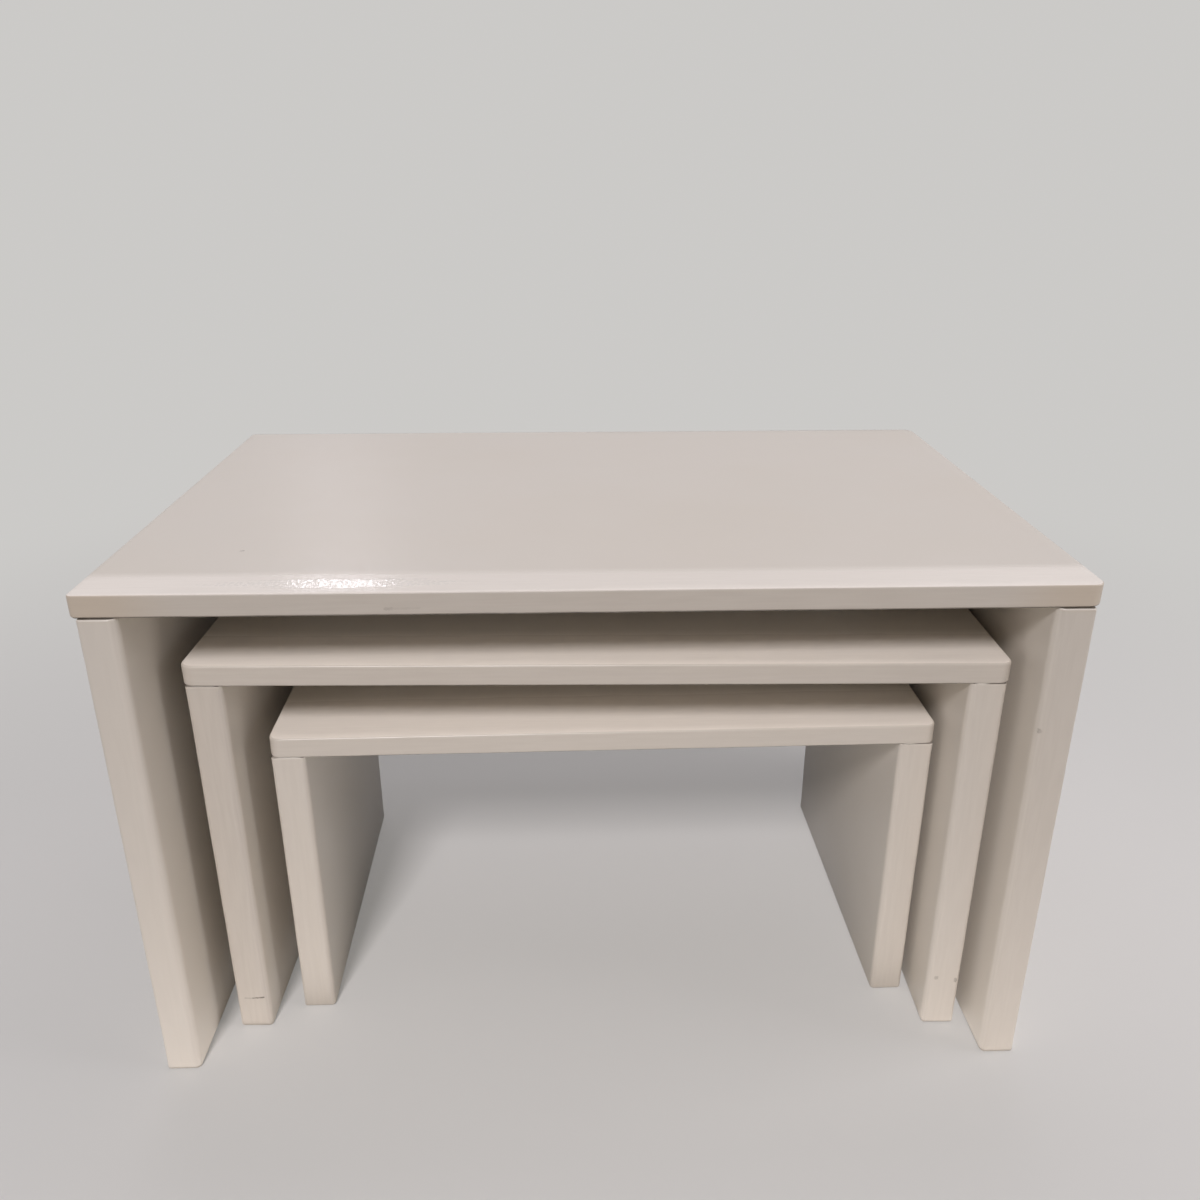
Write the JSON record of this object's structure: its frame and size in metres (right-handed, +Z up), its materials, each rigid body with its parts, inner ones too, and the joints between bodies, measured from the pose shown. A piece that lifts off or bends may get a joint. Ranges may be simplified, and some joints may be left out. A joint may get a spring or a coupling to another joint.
{
  "type": "nesting tables",
  "caption": "Nest of plain cream-painted tables, each a round-edged top board on full-depth side panels, open front and back; the smaller tables draw out from under the larger.",
  "frame": {"origin": "on the floor, under the middle of the large table", "axes": "+Z up, +X to the right along the width; the front, which the smaller tables are drawn out of, faces -Y"},
  "size_m": [0.65, 0.42, 0.386],
  "materials": {
    "paint": "satin cream paint, rolled and brushed by hand over board",
    "beech": "raw beech dowel"
  },
  "bodies": {
    "large_table": {"large_top": "paint", "large_left_panel": "paint", "large_right_panel": "paint", "large_left_dowels": "beech", "large_right_dowels": "beech"},
    "middle_table": {"middle_top": "paint", "middle_left_panel": "paint", "middle_right_panel": "paint", "middle_left_dowels": "beech", "middle_right_dowels": "beech"},
    "small_table": {"small_top": "paint", "small_left_panel": "paint", "small_right_panel": "paint", "small_left_dowels": "beech", "small_right_dowels": "beech"}
  },
  "joints": [
    {"name": "middle_slide", "type": "slide", "parent": "large_table", "child": "middle_table", "axis": [0, -1, 0], "range_m": [-0.032, 0.41]},
    {"name": "small_slide", "type": "slide", "parent": "large_table", "child": "small_table", "axis": [0, -1, 0], "range_m": [-0.08, 0.36]}
  ]
}
